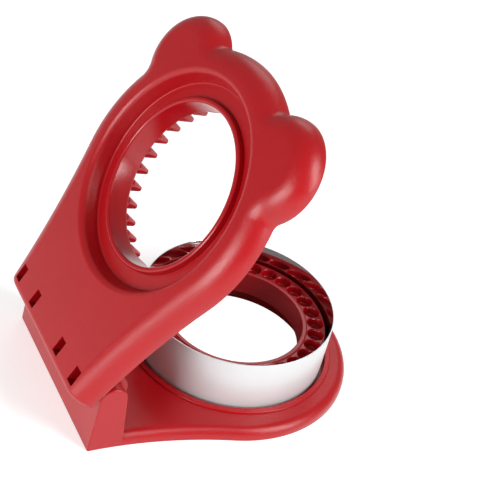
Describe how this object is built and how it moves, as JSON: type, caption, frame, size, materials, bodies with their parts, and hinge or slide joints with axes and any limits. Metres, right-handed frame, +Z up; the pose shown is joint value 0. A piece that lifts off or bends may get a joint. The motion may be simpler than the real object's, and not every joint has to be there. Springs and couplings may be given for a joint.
{
  "type": "sandwich cutter and sealer",
  "caption": "Hinged round sandwich cutter and sealer: a base with a steel cutting ring and pocketed crimp die, and a lobed lid with a pegged collar.",
  "frame": {"origin": "centre of the bounding box's underside with the lid open as pictured, on the surface that the base stands on", "axes": "+Z up, +X from the hinge towards the cutting ring, +Y along the hinge away from the near ear"},
  "size_m": [0.1494, 0.1196, 0.149],
  "materials": {
    "red_plastic": "satin moulded",
    "cutter_steel": "polished strip"
  },
  "bodies": {
    "base": {"base_shell": "red_plastic", "cutter_ring": "cutter_steel", "crimp_die": "red_plastic", "hinge_rod": "red_plastic"},
    "lid": {"lid_shell": "red_plastic", "crimp_collar": "red_plastic"}
  },
  "joints": [
    {"name": "lid_hinge", "type": "hinge", "parent": "base", "child": "lid", "pos_m": [-0.05787, 0, 0.027], "axis": [0, -1, 0], "range_deg": [-59.5, 25]}
  ]
}
